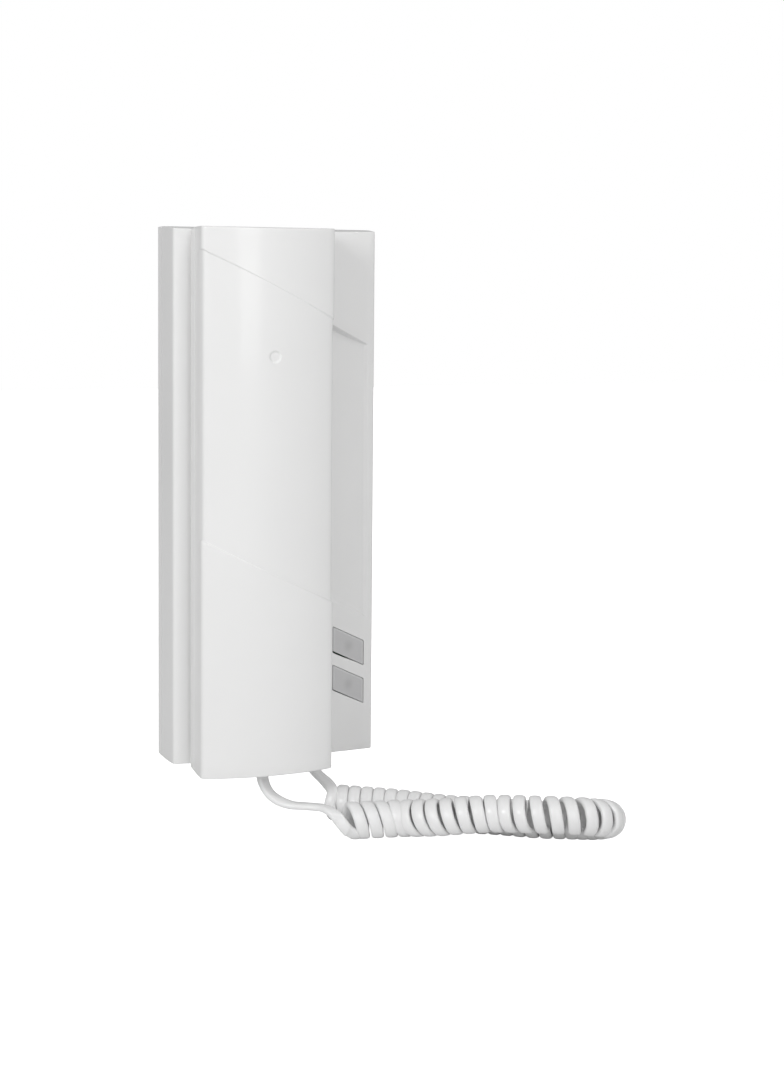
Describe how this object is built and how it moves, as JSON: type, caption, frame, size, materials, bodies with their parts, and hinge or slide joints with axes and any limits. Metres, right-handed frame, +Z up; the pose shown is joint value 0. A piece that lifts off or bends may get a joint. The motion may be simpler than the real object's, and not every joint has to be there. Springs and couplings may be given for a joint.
{
  "type": "wall phone",
  "caption": "Slim wall-hung door-entry phone: a bowed handset rests on a shallow wall unit with slanted keys, and a curly cord joins the two.",
  "frame": {"origin": "the middle of the wall plate's back face, where the phone meets the wall", "axes": "X to the right as seen from the room, Y into the wall, Z up; the front faces -Y"},
  "size_m": [0.1571, 0.1057, 0.2314],
  "materials": {
    "white_shell": "satin-gloss injection moulded, warm white",
    "grey_key": "satin mid grey",
    "black_plastic": "matte black moulding",
    "steel": "zinc plated steel",
    "green_board": "solder-masked glass epoxy",
    "clear_plastic": "clear polycarbonate",
    "grey_terminal": "grey moulding",
    "ivory_plastic": "ivory moulding",
    "black_foam": "soft black foam and rubber",
    "wire_insulation": "thin insulated wire",
    "white_cord": "semi-matte flexible white sheath"
  },
  "bodies": {
    "wall_unit": {"wall_plate": "white_shell", "base_cover": "white_shell", "cover_screws": "steel", "circuit_board": "green_board", "board_screws": "steel", "board_chip": "black_plastic", "board_capacitors": "black_plastic", "terminal_block": "grey_terminal", "terminal_screws": "steel", "ringer_speaker": "black_plastic", "ringer_gasket": "black_foam", "ringer_wires": "wire_insulation", "hook_switch": "black_plastic", "hook_spring": "steel", "tact_switches": "black_plastic", "base_cord_socket": "black_plastic", "base_cord_plug": "clear_plastic", "cord_handset_lead": "white_cord", "cord_coil": "white_cord", "cord_base_lead": "white_cord"},
    "handset": {"handset_front_shell": "white_shell", "handset_rear_shell": "white_shell", "handset_screws": "steel", "receiver_capsule": "black_plastic", "receiver_foam_ring": "black_foam", "receiver_wires": "wire_insulation", "microphone_capsule": "steel", "microphone_boot": "black_foam", "microphone_wires": "wire_insulation", "handset_weight": "steel", "weight_screws": "steel", "handset_cord_socket": "black_plastic", "handset_cord_plug": "clear_plastic"},
    "hook_plunger_body": {"hook_plunger": "white_shell"},
    "door_key_body": {"door_key": "grey_key", "door_key_actuator": "ivory_plastic"},
    "light_key_body": {"light_key": "grey_key", "light_key_actuator": "ivory_plastic"}
  },
  "joints": [
    {"name": "handset_lift", "type": "slide", "parent": "wall_unit", "child": "handset", "axis": [0, -0.766, 0.6428], "range_m": [0, 0.09]},
    {"name": "hook_plunger_slide", "type": "slide", "parent": "wall_unit", "child": "hook_plunger_body", "axis": [0, -1, 0], "range_m": [0, 0.0036]},
    {"name": "door_key_press", "type": "slide", "parent": "wall_unit", "child": "door_key_body", "axis": [0, 1, 0], "range_m": [0, 0.0012], "stiffness_N_per_m": 400, "springref_m": -0.001},
    {"name": "light_key_press", "type": "slide", "parent": "wall_unit", "child": "light_key_body", "axis": [0, 1, 0], "range_m": [0, 0.0012], "stiffness_N_per_m": 400, "springref_m": -0.001}
  ],
  "couplings": [
    {"joint": "hook_plunger_slide", "follows": "handset_lift", "ratio": 0.04}
  ]
}
